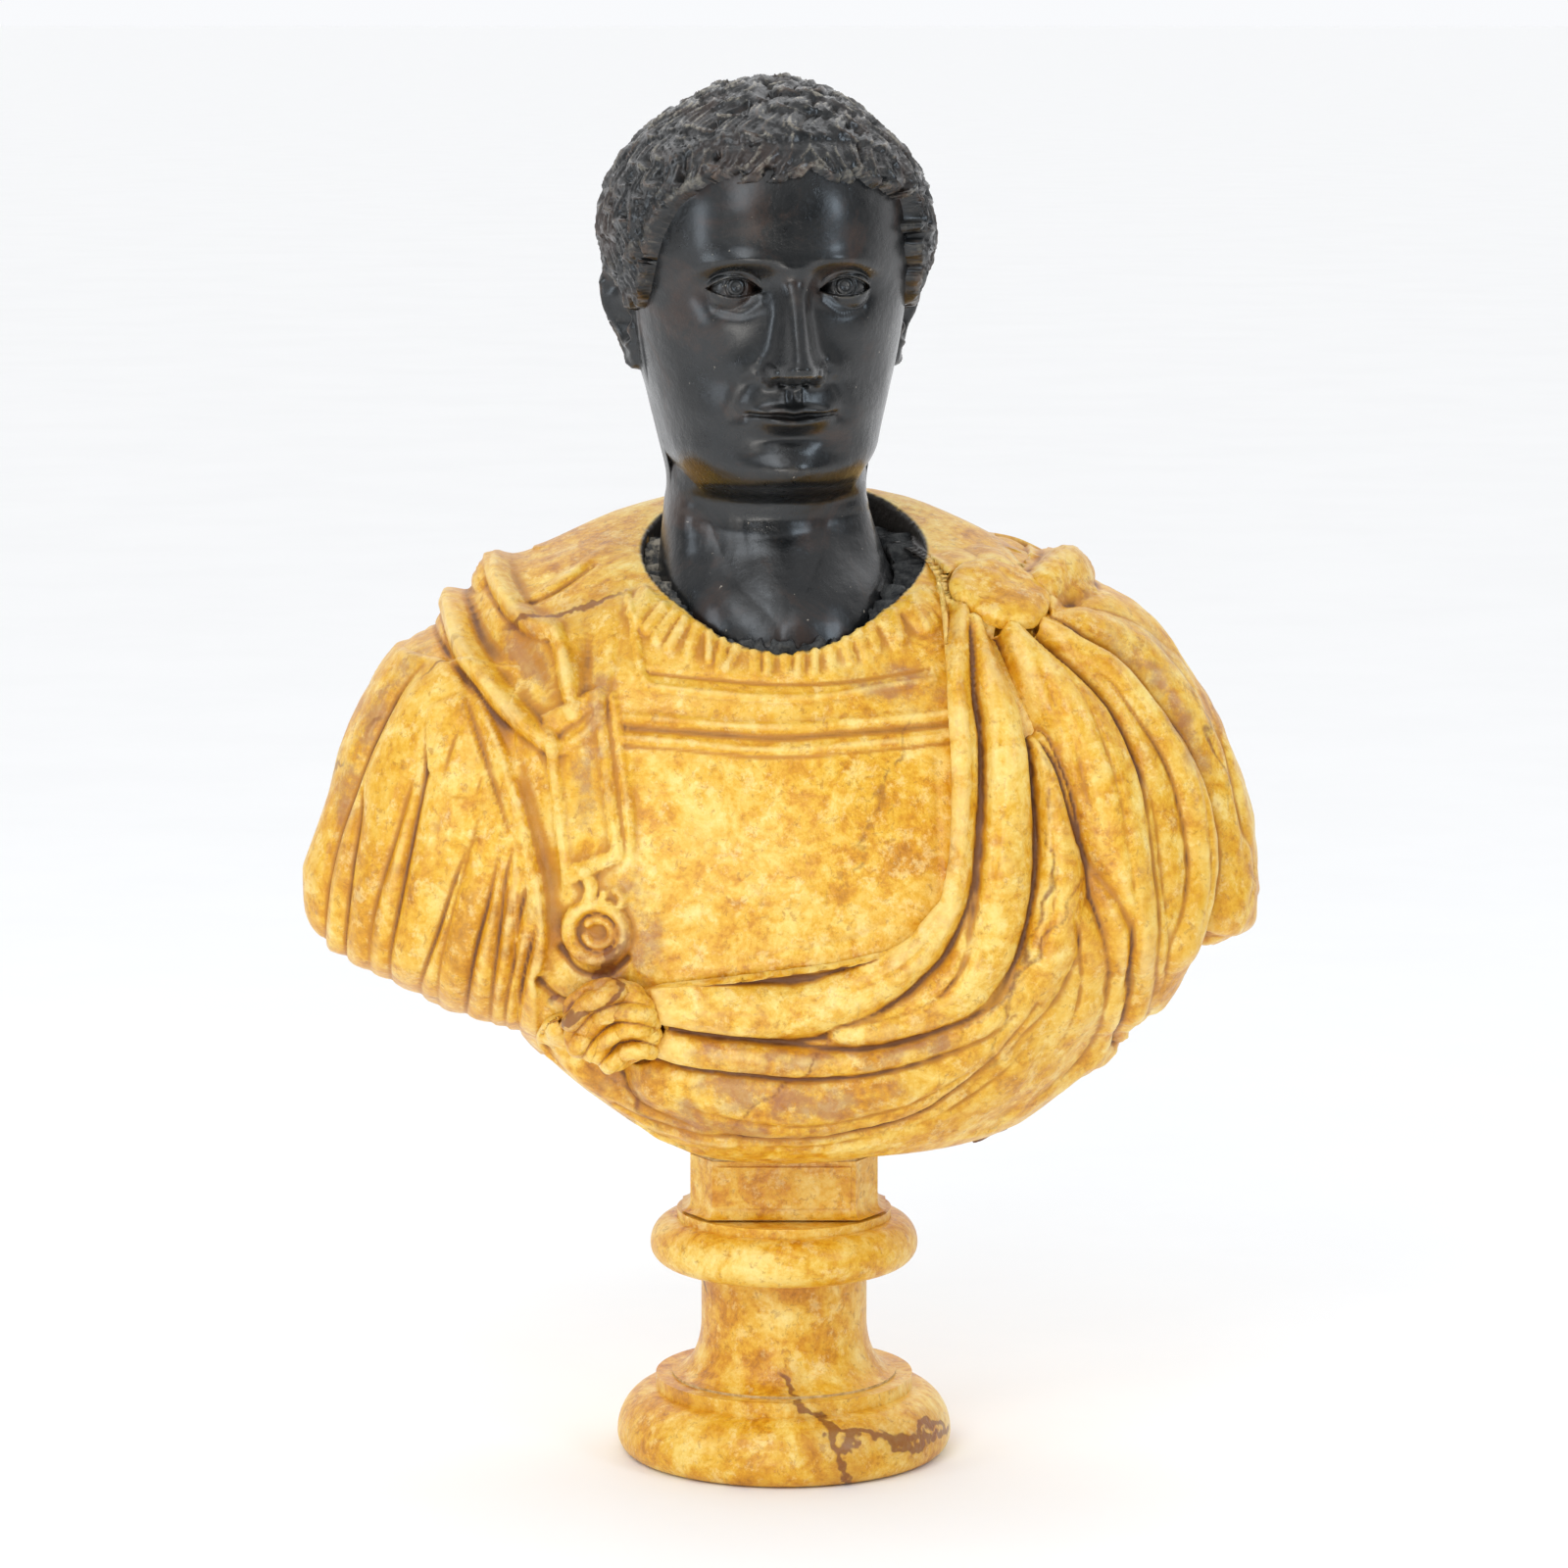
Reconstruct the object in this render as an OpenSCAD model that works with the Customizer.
// Portrait bust in two stones: a dark head set into a draped, cuirassed torso of yellow marble,
// on a turned socle. The back of the torso is hollowed out either side of a pillar, and one
// threaded rod clamps bust, block and socle together. Front faces -Y, +Z is up.

/* [Socle] */
// Radius of the round foot at its widest
foot_r = 97; // [80:1:120]
// Height of the foot, without its step
foot_h = 37; // [28:1:50]
// Radius of the step on the foot and of the shaft's flared base
step_r = 74.5; // [62:0.5:90]
// Height of the step on the foot
step_h = 8; // [5:0.5:12]
// Radius of the shaft at its waist
waist_r = 48; // [36:1:58]
// Height of the shaft
shaft_h = 62; // [44:1:80]
// Radius of the shaft's hollow moulding
cove_r = 17; // [10:1:20]
// Radius of the collar ring at its widest
collar_r = 77.5; // [66:0.5:92]
// Thickness of the collar's half-round
collar_t = 28; // [22:1:44]
// Radius of the low step on the collar
collar_step_r = 62; // [52:0.5:75]
// Height of the low step on the collar
collar_step_h = 5; // [3:0.5:8]

/* [Block] */
// Height of the eight-sided block
block_h = 33; // [25:1:60]
// Width of the block's front panel
panel_w = 82; // [60:1:100]
// Depth of the panel's raised face
panel_proud = 1.5; // [1:0.5:3]
// Margin round the panel's raised face
panel_margin = 3; // [2:0.5:6]

/* [Bust] */
// Width over both arms, without the cloak's thickness on the left arm
bust_w = 550; // [440:10:660]
// Height from the block to the top of the collar at the back
bust_h = 374; // [300:2:450]
// Depth of the chest in front of the arms
chest_front = 122; // [100:1:146]
// Depth of the back, behind the middle of the arms
chest_back = 116; // [96:1:140]
// How far the bust stands behind the socle's axis
bust_set_back = 6; // [0:1:12]
// Width of the middle block, between the two arm joints
core_w = 300; // [250:2:360]
// Thickness of the cloak's carved shell
cloak_t = 12; // [8:0.5:18]
// Open joint between carved pieces
joint_gap = 0.8; // [0.6:0.1:1.5]
// Bed left between the cloak's shell and the body under it
cloak_bed = 1.4; // [1.2:0.1:2.5]

/* [Back] */
// Width of the pillar left standing in the hollowed back
pillar_w = 96; // [70:2:110]
// Depth of the hollows either side of the pillar
hollow_d = 96; // [50:2:110]
// Side wall between a hollow and the arm joint
hollow_wall = 15; // [10:1:25]

/* [Head] */
// Height of the head from chin to crown
head_h = 228; // [190:2:270]
// Width of the head over the hair
head_w = 186; // [155:1:220]
// Depth of the head from brow to the back of the hair
head_d = 208; // [175:1:245]
// Width of the neck under the jaw
neck_w = 116; // [96:1:140]
// Height of the neck, from its seat to the chin
neck_h = 104; // [90:1:130]
// How far the head stands to the wearer's right of the axis
head_shift = 10; // [0:1:20]
// Turn of the head to the wearer's left, in degrees
head_turn = 10; // [0:1:25]
// Gap for mortar between the foot of the neck and the wall of its socket
neck_gap = 4.6; // [3.5:0.1:8]
// Height of the socket's floor above the block
socket_rise = 278; // [230:1:330]
// Mortar under the neck and round it
mortar_t = 2; // [1.5:0.5:4]

/* [Ornaments] */
// Radius of the brooch
brooch_r = 29; // [22:1:36]
// Thickness of the brooch over its dome
brooch_t = 13; // [8:1:18]
// Radius of the gathered knot of cloth
knot_r = 29; // [22:1:36]
// How far the knot stands out of its pocket
knot_proud = 12; // [6:1:20]
// Depth of the pockets that the brooch and knot sit in
pocket_d = 7; // [4:0.5:8]

/* [Fixings] */
// Diameter of the threaded rod
rod_d = 16; // [12:1:20]
// Clearance round the rod
rod_clear = 1; // [0.5:0.25:2]
// Length of rod set into the pillar
rod_grip = 110; // [70:5:180]
// Diameter of the lead that sets the rod
lead_d = 30; // [22:1:40]
// Length of the lead
lead_h = 60; // [30:5:80]
// Width across the nut's flats
nut_af = 24; // [18:1:30]
// Height of the nut
nut_h = 13; // [10:1:16]
// Radius of the washer
washer_r = 22; // [16:1:30]
// Thickness of the washer
washer_t = 3; // [2:0.5:5]
// Rod below the nut
rod_tail = 4; // [2:1:8]
// Diameter of the dowels that hold the arms
dowel_d = 12; // [8:1:16]
// Length of those dowels
dowel_l = 60; // [40:2:90]
// Diameter of the iron dowel in the neck
neck_dowel_d = 20; // [14:1:28]
// Length of the dowel in the neck
neck_dowel_l = 96; // [60:2:120]
// Diameter of the small pins behind the brooch and knot
pin_d = 6; // [4:0.5:8]
// Length of the small pins
pin_l = 20; // [14:1:30]
// Clearance round every dowel and pin
dowel_clear = 0.25; // [0.1:0.05:0.5]
// Thickness of the mortar beds between stones
bed_t = 1.5; // [1:0.25:3]

/* [Hidden] */

// Heights of the joints, from the resting face up
shaft_z = foot_h + step_h + bed_t;
collar_z = shaft_z + shaft_h + bed_t;
block_z = collar_z + collar_t + collar_step_h + bed_t;
bust_z = block_z + block_h + bed_t;
socket_z = bust_z + socket_rise;
neck_z = socket_z + mortar_t;
chin_z = neck_z + neck_h;
crown_z = chin_z + head_h;

marble = [0.86, 0.66, 0.28];
dark_stone = [0.09, 0.09, 0.10];
mortar = [0.55, 0.53, 0.48];
iron = [0.32, 0.30, 0.29];
lead = [0.45, 0.46, 0.48];

// Smooth curve through the rows of a table: the first column is the position, k the value wanted.
function row_at(t, p, i = 0) = i >= len(t) - 2 || t[i + 1][0] > p ? i : row_at(t, p, i + 1);
function slope(t, i, k) = i <= 0 || i >= len(t) - 1 ? 0
    : let (a = (t[i][k] - t[i - 1][k]) / (t[i][0] - t[i - 1][0]),
           b = (t[i + 1][k] - t[i][k]) / (t[i + 1][0] - t[i][0]))
      a * b <= 0 ? 0 : 2 * a * b / (a + b);
function value(t, p, k) = let (i = row_at(t, p), w = t[i + 1][0] - t[i][0],
    s = min(1, max(0, (p - t[i][0]) / w)), s2 = s * s, s3 = s2 * s)
    (2 * s3 - 3 * s2 + 1) * t[i][k] + (s3 - 2 * s2 + s) * w * slope(t, i, k)
    + (3 * s2 - 2 * s3) * t[i + 1][k] + (s3 - s2) * w * slope(t, i + 1, k);
function ramp(a, b, x) = let (s = min(1, max(0, (x - a) / (b - a)))) s * s * (3 - 2 * s);

// A closed skin over rings of points, all with the same number of points, from the bottom up.
module skin(rings) {
    n = len(rings[0]);
    last = len(rings) - 1;
    points = [for (r = rings) each r];
    side = [for (j = [0:last - 1], i = [0:n - 1])
        let (a = j * n + i, b = j * n + (i + 1) % n) each [[a, a + n, b], [b, a + n, b + n]]];
    floor_ = [[for (i = [0:n - 1]) i]];
    roof = [[for (i = [n - 1:-1:0]) last * n + i]];
    polyhedron(points, concat(side, floor_, roof), convexity = 8);
}

// Half-arc outline for turned mouldings: points from angle a to angle b on an ellipse.
function arc(cx, cy, rx, ry, a, b, steps = 12) =
    [for (i = [0:steps]) let (t = a + (b - a) * i / steps) [cx + rx * cos(t), cy + ry * sin(t)]];

// ---- Socle: foot, shaft and collar, each turned and bored for the rod ----

neck_foot_r = neck_w * 0.65;
socket_r = neck_foot_r + neck_gap;
recess_r = washer_r + 3;
recess_h = rod_tail + nut_h + washer_t + 2;
bore_r = rod_d / 2 + rod_clear;
foot_bulge_z = 11;
foot_base_r = foot_r - 9;
collar_round = 14;

module rod_bore(h) {
    translate([0, 0, -1]) cylinder(r = bore_r, h = h + 2, $fn = 48);
}

module bed(r, z) {
    color(mortar) translate([0, 0, z]) difference() {
        cylinder(r = r, h = bed_t, $fn = 96);
        rod_bore(bed_t);
    }
}

module socle_foot() {
    color(marble) difference() {
        rotate_extrude($fn = 128) polygon(concat(
            [[0, 0], [foot_base_r, 0]],
            arc(foot_base_r, foot_bulge_z, foot_r - foot_base_r, foot_bulge_z, -60, 0, 5),
            arc(step_r, foot_bulge_z, foot_r - step_r, foot_h - foot_bulge_z, 8, 90, 10),
            [[step_r, foot_h + step_h], [0, foot_h + step_h]]));
        translate([0, 0, -1]) cylinder(r = recess_r, h = recess_h + 1, $fn = 64);
        rod_bore(foot_h + step_h);
    }
}

module socle_shaft() {
    flare_r = waist_r + cove_r;
    color(marble) translate([0, 0, shaft_z]) difference() {
        rotate_extrude($fn = 128) polygon(concat(
            [[0, 0], [flare_r, 0]],
            [for (p = arc(flare_r, cove_r * 1.8, cove_r, cove_r * 1.8, 270, 180)) p],
            [[waist_r, shaft_h], [0, shaft_h]]));
        rod_bore(shaft_h);
    }
}

module socle_collar() {
    color(marble) translate([0, 0, collar_z]) difference() {
        rotate_extrude($fn = 128) polygon(concat(
            [[0, 0]],
            arc(collar_r - collar_round, collar_t * 0.44, collar_round, collar_t * 0.44, -90, 0, 9),
            arc(collar_r - collar_round, collar_t * 0.44, collar_round, collar_t * 0.56, 9, 90, 9),
            [[collar_step_r, collar_t], [collar_step_r, collar_t + collar_step_h], [0, collar_t + collar_step_h]]));
        rod_bore(collar_t + collar_step_h);
    }
}

// ---- Support block: eight sides with a raised front panel, flaring at its foot to the collar's step ----

block_flare = 5;
block_r = collar_step_r - block_flare - 0.5;
block_front = sqrt(pow(block_r, 2) - pow(panel_w / 2, 2));
block_side = block_r * 0.955;
block_side_w = 2 * sqrt(pow(block_r, 2) - pow(block_side, 2));

function block_outline(inset = 0) = let (
    a = panel_w / 2 - inset / 2,
    b = block_side_w / 2 - inset / 2,
    s = block_side - inset,
    f = block_front - inset)
    [[a, -f], [s, -b], [s, b], [a, f], [-a, f], [-s, b], [-s, -b], [-a, -f]];
function flare(z) = z > block_flare ? 0 : block_flare - sqrt(pow(block_flare, 2) - pow(block_flare - z, 2));
function block_ring(z) = [for (p = block_outline(-flare(z))) [p[0], p[1], z]];

module support_block() {
    color(marble) translate([0, 0, block_z]) difference() {
        union() {
            skin([for (z = concat(block_flare * [0, 0.02, 0.07, 0.14, 0.24, 0.38, 0.56, 0.78, 1], [block_h]))
                block_ring(z)]);
            translate([-panel_w / 2 + panel_margin, -block_front - panel_proud, block_flare + 1])
                cube([panel_w - 2 * panel_margin, block_front, block_h - panel_margin - block_flare - 1]);
        }
        rod_bore(block_h);
    }
}

module bust_bed() {
    color(mortar) translate([0, 0, bust_z - bed_t]) difference() {
        linear_extrude(bed_t) polygon(block_outline(bed_t / 2));
        rod_bore(bed_t);
    }
}

// ---- Bust: one flowing body, split into the middle block, the right sleeve and the cloak ----

// The body's sections: height in per cent of bust_h, half-width to the wearer's right and left in
// per cent of half bust_w, front in per cent of chest_front, middle and back of chest_back.
BODY = [
    [0, 22, 22, 48, 0, 50], [1.6, 25, 34, 57, 0, 54], [3, 29, 42, 64, 0, 57], [4.6, 33, 47, 70, 0, 60],
    [6.7, 37, 51, 75, 0, 64], [9.6, 42.5, 56, 80, 0, 68], [14, 49.5, 62, 86, 0, 74],
    [19.3, 58.5, 67, 92, 0, 80], [22.5, 72.5, 74, 94, 0, 83], [24.6, 78, 78, 96, 0, 85],
    [27.8, 87.5, 81, 97, 0, 88], [31, 96, 85, 98, 0, 90], [34.2, 99, 94, 99, 0, 92],
    [37.5, 100, 95.5, 99, 0, 94], [43.3, 100, 94.5, 100, 0, 96], [52, 95.5, 92.5, 99, 0, 98],
    [61, 92.5, 88.5, 96, 1, 99], [68.7, 88, 83.5, 90, 2, 100], [74.9, 82, 78, 83, 4, 100],
    [80.7, 73.5, 72, 72, 8, 99], [85.3, 67, 64, 60, 14, 97], [88.8, 60.5, 56.5, 44, 20, 95],
    [91.4, 53, 49.5, 28, 25, 92], [94.4, 44, 41.5, 6, 35, 88], [96.8, 36, 34, -13, 45, 83],
    [98.9, 25.5, 26, -30, 53, 76], [100, 18, 19, -36, 57, 70]];

core_half = core_w / 2;
arm_back = 12;        // how far the arms stand behind the middle of the chest
sleeve_foot = 19.8;   // lowest point of the sleeve, in per cent of bust_h
sleeve_top = 76.5;    // underside of the cloak's roll over the right shoulder, likewise
edge_share = 0.998;   // sections stop just short of their sharp ends

function half_w(h, x, o = 0) = bust_w / 200 * value(BODY, h, x > 0 ? 2 : 1) + o;
function lens(x, w, power) = pow(max(0, 1 - pow(abs(x) / w, power)), 1 / power);
function mid_y(x, h) = bust_set_back + chest_back / 100 * value(BODY, h, 4)
    + arm_back * pow(min(1, 2 * abs(x) / bust_w), 2);
// Front and back of the body at x and height h, grown by o.
function front_y(x, h, o = 0) = mid_y(x, h) - lens(x, half_w(h, x, o), 2.1)
    * (chest_front / 100 * value(BODY, h, 3) + chest_back / 100 * value(BODY, h, 4) + o);
function back_y(x, h, o = 0) = mid_y(x, h) + lens(x, half_w(h, x, o), 2.5)
    * (chest_back / 100 * (value(BODY, h, 5) - value(BODY, h, 4)) + o);
function hollow(x, h) = hollow_d * ramp(pillar_half, pillar_half + slope_w, abs(x))
    * ramp(bay_edge, bay_edge - slope_w, abs(x)) * ramp(13, 24, h) * ramp(74, 64, h);

// Heights of the sections to draw.
HEIGHTS = [0, 1.6, 3, 4.6, 6.7, 9.6, 12, 14, 17, 19.3, 21, 22.5, 23.6, 24.6, 26.2, 27.8, 29.4, 31, 32.6,
           34.2, 36, 38, 43.3, 49, 55, 61, 65, 68.7, 72, 74.9, sleeve_top, 80.7, 83, 85.3, 87, 88.8, 90,
           91.4, 93, 94.4, 95.6, 96.8, 98, 98.9, 100];
function body_z(h) = bust_z + bust_h * h / 100;
function body_h(z) = (z - bust_z) / bust_h * 100;
function spread(a, b, n) = [for (i = [0:n - 1]) a + (b - a) * (1 - cos(180 * i / (n - 1))) / 2];

pillar_half = pillar_w / 2;
bay_edge = core_half - hollow_wall;
slope_w = 14;         // width of the sloping walls of the hollows
BACK_HALF = [12, 26, 38, pillar_half, pillar_half + slope_w / 2, pillar_half + slope_w,
             (pillar_half + bay_edge) / 2, bay_edge - slope_w, bay_edge - slope_w / 2, bay_edge,
             core_half - hollow_wall / 2, core_half];
BACK_X = concat([for (i = [len(BACK_HALF) - 1:-1:0]) -BACK_HALF[i]], [0], BACK_HALF);
sleeve_n = 14;
step_share = 0.15;    // the step under the shoulder roll rises this much, in per cent of bust_h

function core_left(h) = min(core_half, edge_share * half_w(h, 1));
function core_right(h, roll) = roll ? edge_share * half_w(h, -1)
    : min(core_half, edge_share * half_w(h, -1));
function core_section(h, roll) = let (r = core_right(h, roll), l = core_left(h))
    concat([for (x = spread(-r, l, len(BACK_X))) [x, front_y(x, h), body_z(h)]],
           [for (b = reverse_(BACK_X)) let (x = b * (b < 0 ? r : l) / core_half)
               [x, back_y(x, h) - hollow(x, h), body_z(h)]]);
function reverse_(t) = [for (i = [len(t) - 1:-1:0]) t[i]];

module torso_body() {
    skin(concat([for (h = HEIGHTS) if (h < sleeve_top) core_section(h, false)],
                [core_section(sleeve_top - step_share, false)],
                [for (h = HEIGHTS) if (h >= sleeve_top) core_section(h, true)]));
}

module sleeve_body() {
    side = core_half + joint_gap;
    top = sleeve_top - step_share - 100 * joint_gap / bust_h;
    hs = concat([sleeve_foot], [for (h = HEIGHTS) if (h > sleeve_foot + 1 && h < top - 0.5) h], [top]);
    skin([for (h = hs) let (xs = spread(-max(edge_share * half_w(h, -1), side + 4), -side, sleeve_n))
        concat([for (x = xs) [x, front_y(x, h), body_z(h)]],
               [for (x = reverse_(xs)) [x, max(back_y(x, h), front_y(x, h) + 0.5), body_z(h)]])]);
}

// Front edge of the cloak: height in per cent of bust_h, x in per cent of half bust_w.
CLOAK_EDGE = [[2.2, -19], [4, -25], [6.7, -30], [9.6, -35], [14, -43], [17, -49], [20, -51], [24, -49],
              [28, -38], [30.5, -28], [32, -14], [34, 8], [36.5, 22], [40, 29], [46, 33], [58, 34],
              [72, 33], [84, 32], [89, 31], [94, 26], [97, 22]];
cloak_foot = 2.2;
cloak_top = 96.6;
hem_n = 20;
arm_n = 9;

function hem_x(h) = max(bust_w / 200 * value(CLOAK_EDGE, h, 1), -edge_share * half_w(h, -1) + 6,
                        -core_half + 6);
function cloak_section(h) = let (
    side = core_left(h) + joint_gap,
    over = spread(hem_x(h), edge_share * half_w(h, 1, cloak_t), hem_n),
    under = spread(side, hem_x(h), hem_n),
    round = spread(edge_share * half_w(h, 1, cloak_t), side, arm_n))
    concat([for (x = over) [x, front_y(x, h, cloak_t), body_z(h)]],
           [for (i = [1:arm_n - 1]) [round[i], back_y(round[i], h, cloak_t), body_z(h)]],
           [for (x = under) [x, front_y(x, h, cloak_bed), body_z(h)]]);

module cloak_body() {
    skin([for (h = concat([cloak_foot],
                          [for (h = HEIGHTS) if (h > cloak_foot + 0.5 && h < cloak_top - 0.5) h],
                          [cloak_top])) cloak_section(h)]);
}

// Places a child on the cloak's outer surface, its Z axis straight out of the surface.
module on_cloak(x, h, sink = 0) {
    p = [x, front_y(x, h, cloak_t), body_z(h)];
    across = [4, front_y(x + 2, h, cloak_t) - front_y(x - 2, h, cloak_t), 0];
    up = [0, front_y(x, h + 0.5, cloak_t) - front_y(x, h - 0.5, cloak_t), bust_h / 100];
    out = cross(across, up) / norm(cross(across, up));
    translate(p - sink * out) rotate([0, acos(out[2]), atan2(out[1], out[0])]) children();
}

brooch_x = 0.442 * bust_w / 2;
brooch_at = 87.4;
knot_x = -0.35 * bust_w / 2;
knot_at = 24.6;
neck_y = bust_set_back - 10;
arm_dowel_y = bust_set_back - 30;
arm_dowels = [34, 64];      // heights of the arm dowels, in per cent of bust_h
neck_dowel_z = socket_z - neck_dowel_l / 2;
rod_top = bust_z + rod_grip;

module dowel(d, l, grow = 0) {
    translate([0, 0, -grow]) cylinder(r = d / 2 + grow, h = l + 2 * grow, $fn = 32);
}
module arm_dowel(side, h, grow = 0) {
    translate([side * (core_half + joint_gap / 2) - dowel_l / 2, arm_dowel_y, body_z(h)])
        rotate([0, 90, 0]) dowel(dowel_d, dowel_l, grow);
}
module ornament_pin(x, h, grow = 0) {
    on_cloak(x, h, pocket_d + pin_l - pin_grip) dowel(pin_d, pin_l, grow);
}
pin_grip = 5;               // how far the small pins reach into the brooch and knot

module torso() {
    color(marble) difference() {
        torso_body();
        translate([0, neck_y, socket_z]) cylinder(r = socket_r, h = bust_h, $fn = 96);
        translate([0, neck_y, neck_dowel_z]) dowel(neck_dowel_d, neck_dowel_l, dowel_clear);
        translate([0, 0, bust_z - 1]) cylinder(r = lead_d / 2 + dowel_clear, h = rod_grip + 7, $fn = 48);
        for (h = arm_dowels) {
            arm_dowel(-1, h, dowel_clear);
            arm_dowel(1, h, dowel_clear);
        }
        on_cloak(brooch_x, brooch_at, pocket_d) cylinder(r = brooch_r + joint_gap, h = 40, $fn = 64);
        ornament_pin(brooch_x, brooch_at, dowel_clear);
        ornament_pin(knot_x, knot_at, dowel_clear);
    }
}

module right_sleeve() {
    color(marble) difference() {
        sleeve_body();
        for (h = arm_dowels) arm_dowel(-1, h, dowel_clear);
    }
}

module cloak() {
    color(marble) difference() {
        cloak_body();
        for (h = arm_dowels) arm_dowel(1, h, dowel_clear);
        on_cloak(brooch_x, brooch_at, pocket_d) cylinder(r = brooch_r + joint_gap, h = 40, $fn = 64);
        on_cloak(knot_x, knot_at, pocket_d) cylinder(r = knot_r + joint_gap, h = 40, $fn = 64);
        ornament_pin(brooch_x, brooch_at, dowel_clear);
        ornament_pin(knot_x, knot_at, dowel_clear);
    }
}

module sleeve_dowels() {
    color(iron) for (h = arm_dowels) arm_dowel(-1, h);
}
module cloak_dowels() {
    color(iron) for (h = arm_dowels) arm_dowel(1, h);
}
module brooch_pin() {
    color(iron) ornament_pin(brooch_x, brooch_at);
}
module knot_pin() {
    color(iron) ornament_pin(knot_x, knot_at);
}

// Plain low dome with a soft shoulder at its edge.
module brooch() {
    edge = min(pocket_d + 2, brooch_t / 2);
    color(marble) on_cloak(brooch_x, brooch_at, pocket_d) difference() {
        rotate_extrude($fn = 96) polygon(concat([[0, 0], [brooch_r, 0]],
            [for (a = [0:7.5:90]) [brooch_r * cos(a), edge + (brooch_t - edge) * sin(a)]]));
        translate([0, 0, -1]) dowel(pin_d, pin_grip + 1, dowel_clear);
    }
}

// Cloth gathered into a round knot of six soft lobes.
module cloak_knot() {
    lobe = knot_r * 0.42;
    color(marble) on_cloak(knot_x, knot_at, pocket_d) difference() {
        union() {
            cylinder(r = knot_r - 2, h = pocket_d + 1, $fn = 64);
            intersection() {
                union() {
                    for (a = [0:60:300]) rotate(a) translate([knot_r - lobe, 0, pocket_d]) sphere(r = lobe, $fn = 32);
                    translate([0, 0, pocket_d - lobe / 2]) sphere(r = knot_proud + lobe / 2, $fn = 48);
                }
                cylinder(r = knot_r + 1, h = 60, $fn = 64);
            }
        }
        translate([0, 0, -1]) dowel(pin_d, pin_grip + 1, dowel_clear);
    }
}

// ---- Head and neck, one piece of dark stone ----

// Sections: height in per cent of head_h above the chin, half-width in per cent of half head_w,
// front and back in per cent of head_d from the ear line, squareness of the front.
HEAD = [
    [0, 62, 30, 29, 1.8], [2, 62, 38, 29.5, 1.8], [5, 63, 41, 30, 1.8], [10, 66, 42, 31, 1.85],
    [16, 70, 41.5, 33, 1.9], [24, 75, 41.5, 36, 2.0], [30, 79, 41.5, 38.5, 2.1], [38, 83, 42, 43, 2.2],
    [46, 88, 42, 48, 2.3], [52, 93, 43, 51, 2.3], [59, 98, 44.5, 53.5, 2.3], [65, 99, 45, 54.5, 2.2],
    [71, 96, 44.5, 53.5, 2.2], [77, 90, 42.5, 50, 2.1], [82, 82, 39.5, 45.5, 2.1],
    [87, 70, 34.5, 39, 2.0], [91, 58, 29, 32.5, 2.0], [95, 43, 21.5, 24, 2.0], [98, 27, 13, 15, 2.0],
    [99.5, 13, 6, 7.5, 2.0], [100, 4, 2, 3, 2.0]];
HEAD_RINGS = [0, 1, 2, 3.5, 5, 7.5, 10, 12, 13.7, 15.4, 17.6, 19.8, 21.5, 24, 26, 28, 31, 34, 38, 42, 45,
              48, 50, 52.5, 55, 58, 62, 66, 70, 74, 78, 82, 85, 88, 91, 93.5, 96, 98, 99.3, 100];
head_n = 60;

function bump(x, at, wide) = exp(-pow((x - at) / wide, 2));
// Raised and sunk parts of the face at height v (per cent) and x (mm across the face).
function face(v, x) = let (k = head_h / 228)
    - 20 * k * bump(x, 0, (6 + 9 * bump(v, 28, 6)) * k) * ramp(54, 31, v) * ramp(24, 28, v)
    - 5 * k * bump(abs(x), 26 * k, 20 * k) * bump(v, 55, 3)
    + 9 * k * bump(abs(x), 32 * k, 15 * k) * bump(v, 49, 5)
    - 5 * k * bump(abs(x), 32 * k, 12 * k) * bump(v, 48.5, 2.6)
    - 4 * k * bump(x, 0, 17 * k) * (bump(v, 19.8, 1.5) + bump(v, 15.4, 1.9))
    + 3 * k * bump(x, 0, 22 * k) * bump(v, 11.8, 1.8)
    - 4 * k * bump(x, 0, 17 * k) * bump(v, 5, 4);
function ear(v, y) = 11 * head_h / 228 * bump(v, 41, 11) * bump(y, 4, 14);
function head_ring(v) = let (
    w = head_w / 200 * value(HEAD, v, 1),
    f = head_d / 100 * value(HEAD, v, 2),
    b = head_d / 100 * value(HEAD, v, 3),
    p = value(HEAD, v, 4))
    [for (i = [0:head_n - 1]) let (
        t = 360 * i / head_n - 90,
        c = cos(t), s = sin(t),
        r = 1 / pow(pow(abs(c), p) + pow(abs(s), p), 1 / p),
        x = w * r * c, y = (s < 0 ? f : b) * r * s,
        dy = s < 0 ? face(v, x) * -s : 0,
        dx = sign(c) * ear(v, y) * pow(abs(c), 2))
        [x + dx, y + dy, chin_z + head_h * v / 100]];

// Sections of the neck: share of the way up from its seat to the chin, radius across and front to
// back in per cent of half neck_w, shift towards the head in per cent.
NECK = [[0, 130, 130, 0], [15, 129.5, 129.5, 0], [27, 127, 127, 8], [44, 121, 119, 30], [64, 108, 106, 62],
        [82, 100, 100, 88], [100, 96, 108, 100]];
NECK_RINGS = [0, 8, 15, 22, 30, 38, 46, 55, 64, 74, 84, 93];
function neck_ring(u) = let (a = neck_w / 200 * value(NECK, u, 1), b = neck_w / 200 * value(NECK, u, 2))
    [for (i = [0:head_n - 1]) let (t = 360 * i / head_n - 90, k = value(NECK, u, 3) / 100)
        [a * cos(t), b * sin(t) + k * 4, neck_z + neck_h * u / 100]];
function turned(r, k) = let (g = head_turn * k, c = cos(g), s = sin(g))
    [for (p = r) [p[0] * c - p[1] * s - head_shift * k, p[0] * s + p[1] * c + neck_y + 2 * k, p[2]]];

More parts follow.
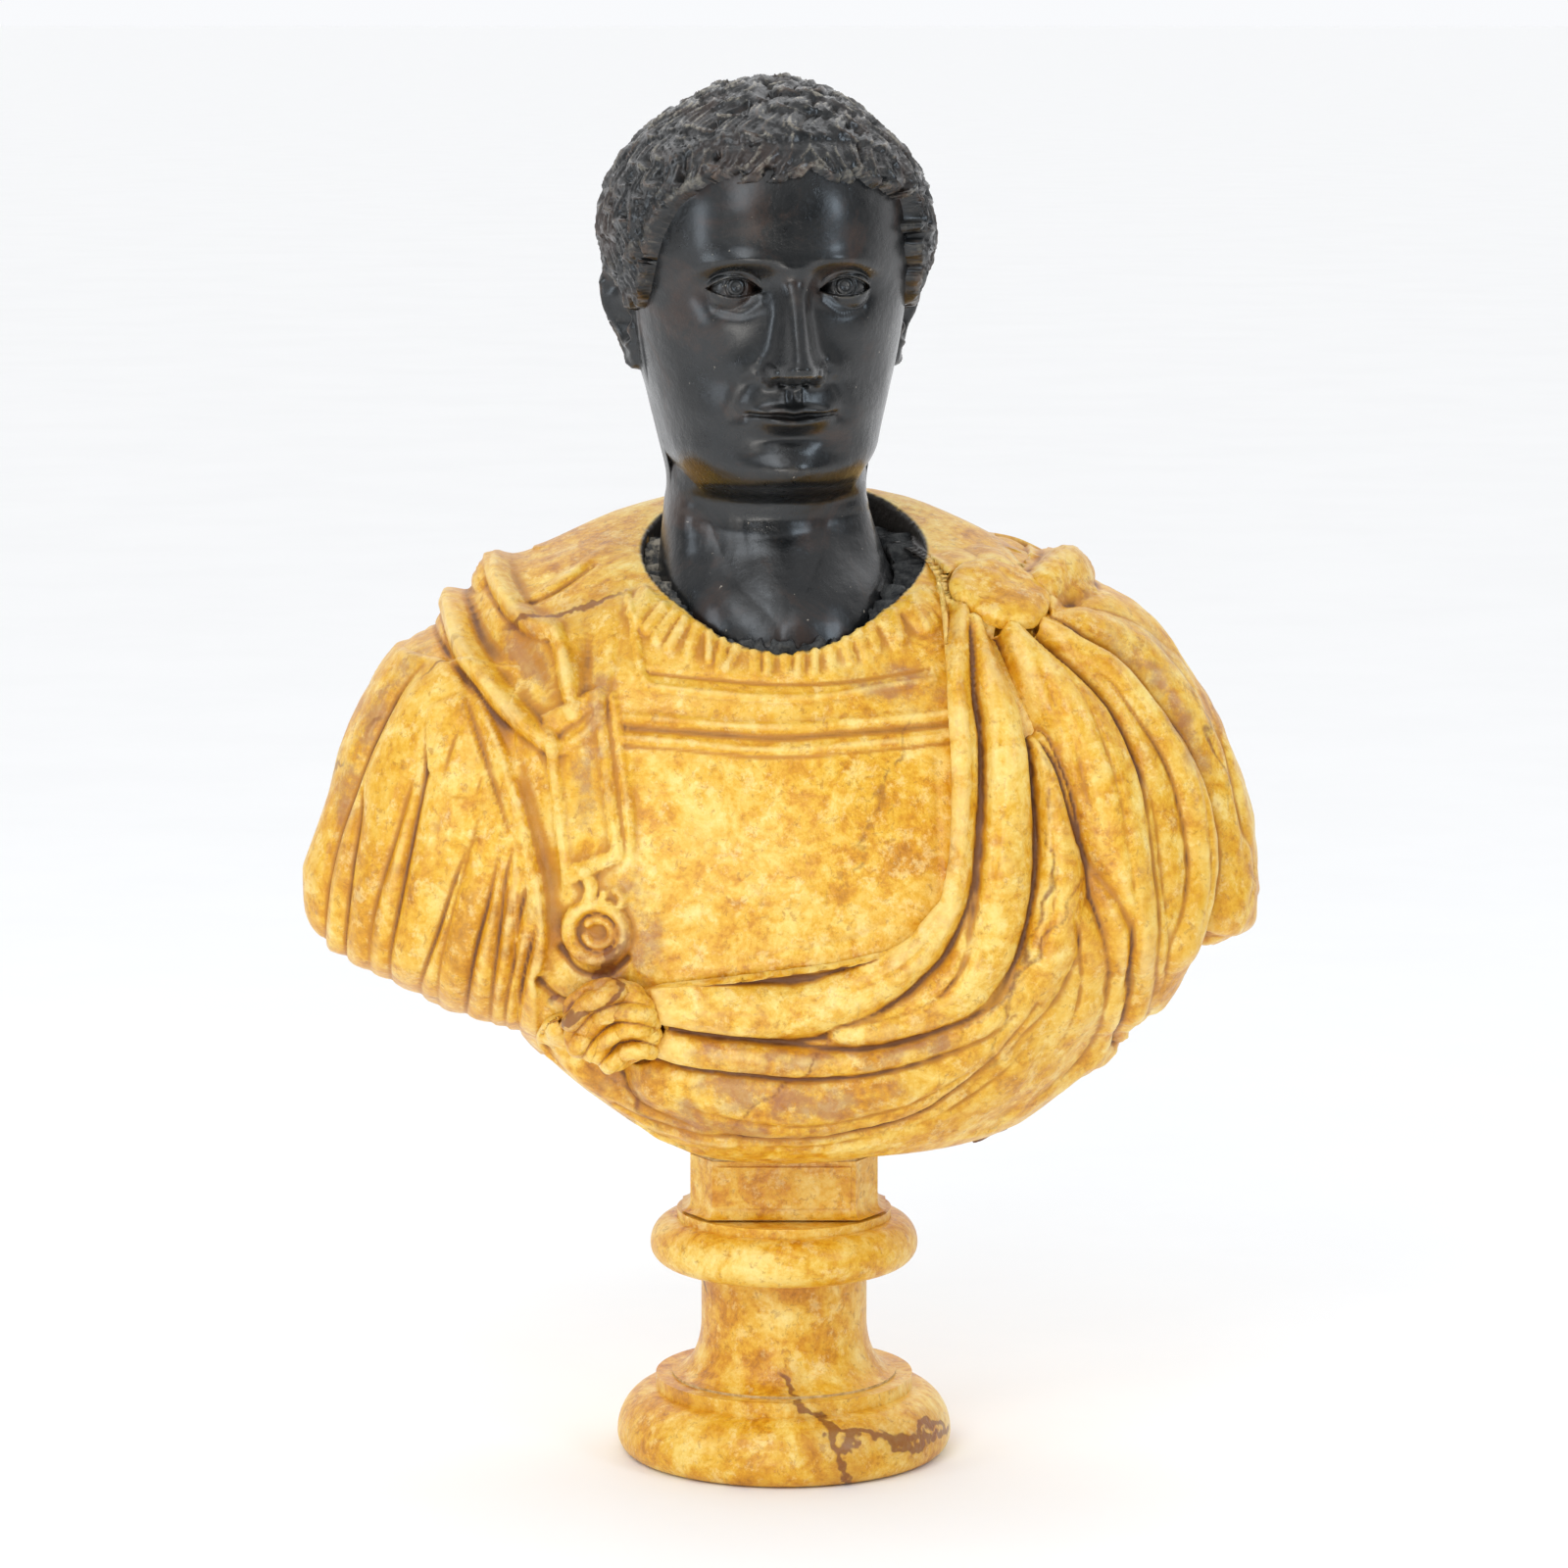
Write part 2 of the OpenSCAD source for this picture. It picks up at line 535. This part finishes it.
module head() {
    color(dark_stone) difference() {
        skin(concat([for (u = NECK_RINGS) turned(neck_ring(u), ramp(0, 100, u))],
                    [for (v = HEAD_RINGS) if (v > 0) turned(head_ring(v), 1)]));
        translate([0, neck_y, neck_dowel_z]) dowel(neck_dowel_d, neck_dowel_l, dowel_clear);
    }
}

module neck_dowel() {
    color(iron) translate([0, neck_y, neck_dowel_z]) dowel(neck_dowel_d, neck_dowel_l);
}

// Mortar: a bed under the neck and a low wall of it round the foot of the neck.
module neck_mortar() {
    wall_h = 18;
    color(mortar) translate([0, neck_y, socket_z]) difference() {
        cylinder(r = socket_r - dowel_clear, h = wall_h, $fn = 96);
        translate([0, 0, mortar_t]) cylinder(r = neck_foot_r + neck_gap / 3, h = wall_h, $fn = 96);
        translate([0, 0, -1]) cylinder(r = neck_dowel_d / 2 + dowel_clear, h = wall_h, $fn = 32);
    }
}

// ---- Rod that clamps the whole piece together, with its nut, washer and lead ----

module tie_rod() {
    color(iron) translate([0, 0, recess_h - washer_t - nut_h - rod_tail])
        cylinder(r = rod_d / 2, h = rod_top - (recess_h - washer_t - nut_h - rod_tail), $fn = 48);
}
module rod_nut() {
    color(iron) translate([0, 0, recess_h - washer_t - nut_h]) difference() {
        cylinder(r = nut_af / sqrt(3), h = nut_h, $fn = 6);
        translate([0, 0, -1]) cylinder(r = rod_d / 2 + dowel_clear, h = nut_h + 2, $fn = 48);
    }
}
module rod_washer() {
    color(iron) translate([0, 0, recess_h - washer_t]) difference() {
        cylinder(r = washer_r, h = washer_t, $fn = 64);
        rod_bore(washer_t);
    }
}
module rod_lead() {
    color(lead) translate([0, 0, rod_top - lead_h]) difference() {
        cylinder(r = lead_d / 2, h = lead_h + 5, $fn = 48);
        translate([0, 0, -1]) cylinder(r = rod_d / 2 + dowel_clear, h = lead_h + 1 + dowel_clear, $fn = 48);
    }
}

module shaft_bed() { bed(waist_r + cove_r, shaft_z - bed_t); }
module collar_bed() { bed(waist_r, collar_z - bed_t); }
module block_bed() {
    color(mortar) translate([0, 0, block_z - bed_t]) difference() {
        linear_extrude(bed_t) polygon(block_outline(bed_t / 2));
        rod_bore(bed_t);
    }
}

socle_foot();
shaft_bed();
socle_shaft();
collar_bed();
socle_collar();
block_bed();
support_block();
bust_bed();
torso();
right_sleeve();
sleeve_dowels();
cloak();
cloak_dowels();
brooch();
brooch_pin();
cloak_knot();
knot_pin();
head();
neck_dowel();
neck_mortar();
tie_rod();
rod_nut();
rod_washer();
rod_lead();
